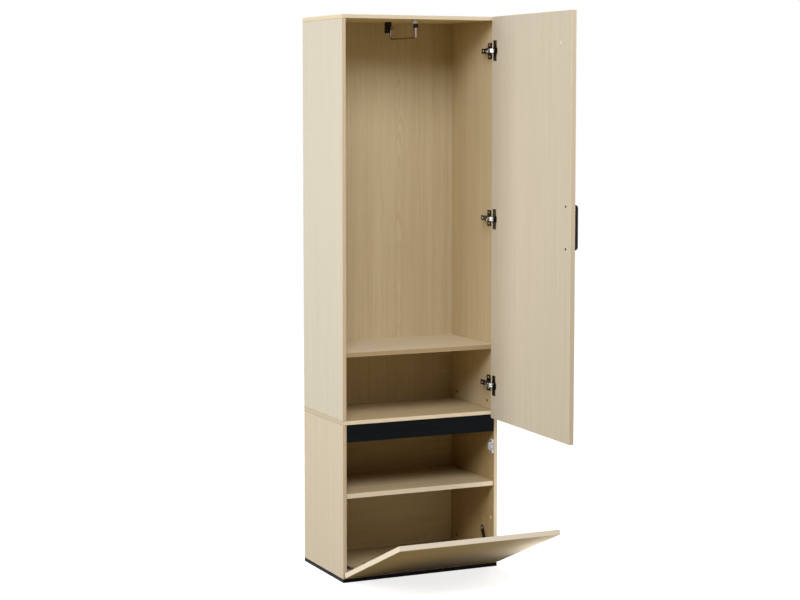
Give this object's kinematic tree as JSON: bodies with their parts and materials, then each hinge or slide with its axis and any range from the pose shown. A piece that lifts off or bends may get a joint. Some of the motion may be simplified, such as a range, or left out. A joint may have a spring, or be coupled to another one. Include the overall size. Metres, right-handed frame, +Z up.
{
  "type": "mudroom locker unit",
  "caption": "Tall light-wood locker with a side-hung door, shelves and a pull-out hanger rail, standing on a lower cabinet with a drop-down flap.",
  "frame": {"origin": "on the floor under the middle of the carcass's footprint", "axes": "+X to the right seen from the front, +Y to the back, +Z up"},
  "size_m": [0.55, 0.8886, 1.8],
  "materials": {
    "light_wood": "satin decor foil with a pale birch grain",
    "black_board": "satin black",
    "dowel_wood": "plain beech",
    "hinge_steel": "dark nickel plated",
    "link_steel": "bright nickel plated",
    "screw_steel": "zinc plated",
    "stay_steel": "dull nickel",
    "black_metal": "satin black",
    "black_plastic": "moulded",
    "rail_chrome": "polished, dark",
    "white_plastic": "moulded",
    "dark_steel": "blackened",
    "dark_plug": "moulded",
    "pale_cap": "moulded",
    "clear_cap": "translucent"
  },
  "bodies": {
    "carcass": {"base_board": "black_board", "lower_side_left": "light_wood", "lower_side_right": "light_wood", "lower_floor": "light_wood", "lower_back": "light_wood", "lower_shelf": "light_wood", "grip_rail": "black_board", "lower_rear_rail": "light_wood", "upper_side_left": "light_wood", "upper_side_right": "light_wood", "upper_floor": "light_wood", "upper_shelf": "light_wood", "upper_back": "light_wood", "top_panel": "light_wood", "panel_dowels": "dowel_wood", "stacking_dowels": "dowel_wood", "shelf_pins": "screw_steel", "wall_plugs": "dark_plug", "back_caps": "pale_cap", "side_caps": "pale_cap", "door_hinge_plates": "hinge_steel", "door_hinge_arms": "hinge_steel", "door_plate_screws": "screw_steel", "flap_hinge_plates": "hinge_steel", "flap_hinge_arms": "hinge_steel", "flap_plate_screws": "screw_steel", "stay_wall_plates": "pale_cap", "stay_wall_screws": "screw_steel", "latch_housing": "white_plastic", "latch_screws": "dark_steel", "rail_rear_bracket": "black_plastic", "rail_front_bracket": "hinge_steel", "rail_rod": "rail_chrome", "rail_screws": "screw_steel"},
    "door_links": {"door_hinge_links": "link_steel"},
    "door_inner_links": {"door_inner_links": "link_steel"},
    "door": {"door_panel": "light_wood", "door_hinge_cups": "hinge_steel", "door_cup_screws": "screw_steel", "door_handle": "black_metal", "handle_screws": "screw_steel", "door_cap": "clear_cap"},
    "flap_links": {"flap_hinge_links": "link_steel"},
    "flap_inner_links": {"flap_inner_links": "link_steel"},
    "flap": {"flap_panel": "light_wood", "flap_hinge_cups": "hinge_steel", "flap_cup_screws": "screw_steel", "latch_strike": "link_steel", "stay_flap_feet": "stay_steel", "stay_foot_screws": "screw_steel"},
    "stay_rockers": {"stay_rockers": "stay_steel"},
    "stay_arms": {"stay_arms": "stay_steel", "elbow_pins": "stay_steel"},
    "hanger_rail": {"rail_wire": "rail_chrome", "rail_knob": "black_plastic", "rail_slider": "black_plastic"},
    "latch": {"latch_plunger": "white_plastic", "latch_magnet": "dark_steel"}
  },
  "joints": [
    {"name": "door_link_turn", "type": "hinge", "parent": "carcass", "child": "door_links", "pos_m": [0.24, -0.161, 1.1485], "axis": [0, 0, 1], "range_deg": [-12.9, 55.06]},
    {"name": "door_swing", "type": "hinge", "parent": "door_links", "child": "door", "pos_m": [0.24707, -0.18542, 1.1485], "axis": [0, 0, 1], "range_deg": [-142.56, 32.4]},
    {"name": "door_inner_link_turn", "type": "hinge", "parent": "carcass", "child": "door_inner_links", "pos_m": [0.234, -0.163, 1.1485], "axis": [0, 0, 1], "range_deg": [-11.7, 49.78]},
    {"name": "flap_link_turn", "type": "hinge", "parent": "carcass", "child": "flap_links", "pos_m": [0, -0.161, 0.047], "axis": [1, 0, 0], "range_deg": [-11.66, 42.04]},
    {"name": "flap_swing", "type": "hinge", "parent": "flap_links", "child": "flap", "pos_m": [0, -0.1832, 0.03461], "axis": [1, 0, 0], "range_deg": [-108.54, 29.16]},
    {"name": "flap_inner_link_turn", "type": "hinge", "parent": "carcass", "child": "flap_inner_links", "pos_m": [0, -0.163, 0.053], "axis": [1, 0, 0], "range_deg": [-10.58, 38.02]},
    {"name": "stay_rocker_turn", "type": "hinge", "parent": "carcass", "child": "stay_rockers", "pos_m": [0, -0.089, 0.114], "axis": [1, 0, 0], "range_deg": [-6.46, 22.68]},
    {"name": "stay_arm_turn", "type": "hinge", "parent": "flap", "child": "stay_arms", "pos_m": [0, -0.18795, 0.04901], "axis": [1, 0, 0], "range_deg": [-20.05, 73.26]},
    {"name": "rail_pull", "type": "slide", "parent": "carcass", "child": "hanger_rail", "axis": [0, -1, 0], "range_m": [0, 0.038]},
    {"name": "latch_push", "type": "slide", "parent": "carcass", "child": "latch", "axis": [0, 1, 0], "range_m": [0, 0.004], "stiffness_N_per_m": 300}
  ],
  "couplings": [
    {"joint": "door_link_turn", "follows": "door_swing", "ratio": -0.38272},
    {"joint": "door_inner_link_turn", "follows": "door_swing", "ratio": -0.34568},
    {"joint": "flap_link_turn", "follows": "flap_swing", "ratio": -0.38272},
    {"joint": "flap_inner_link_turn", "follows": "flap_swing", "ratio": -0.34568},
    {"joint": "stay_rocker_turn", "follows": "flap_swing", "ratio": -0.20432},
    {"joint": "stay_arm_turn", "follows": "flap_swing", "ratio": -0.67037}
  ]
}
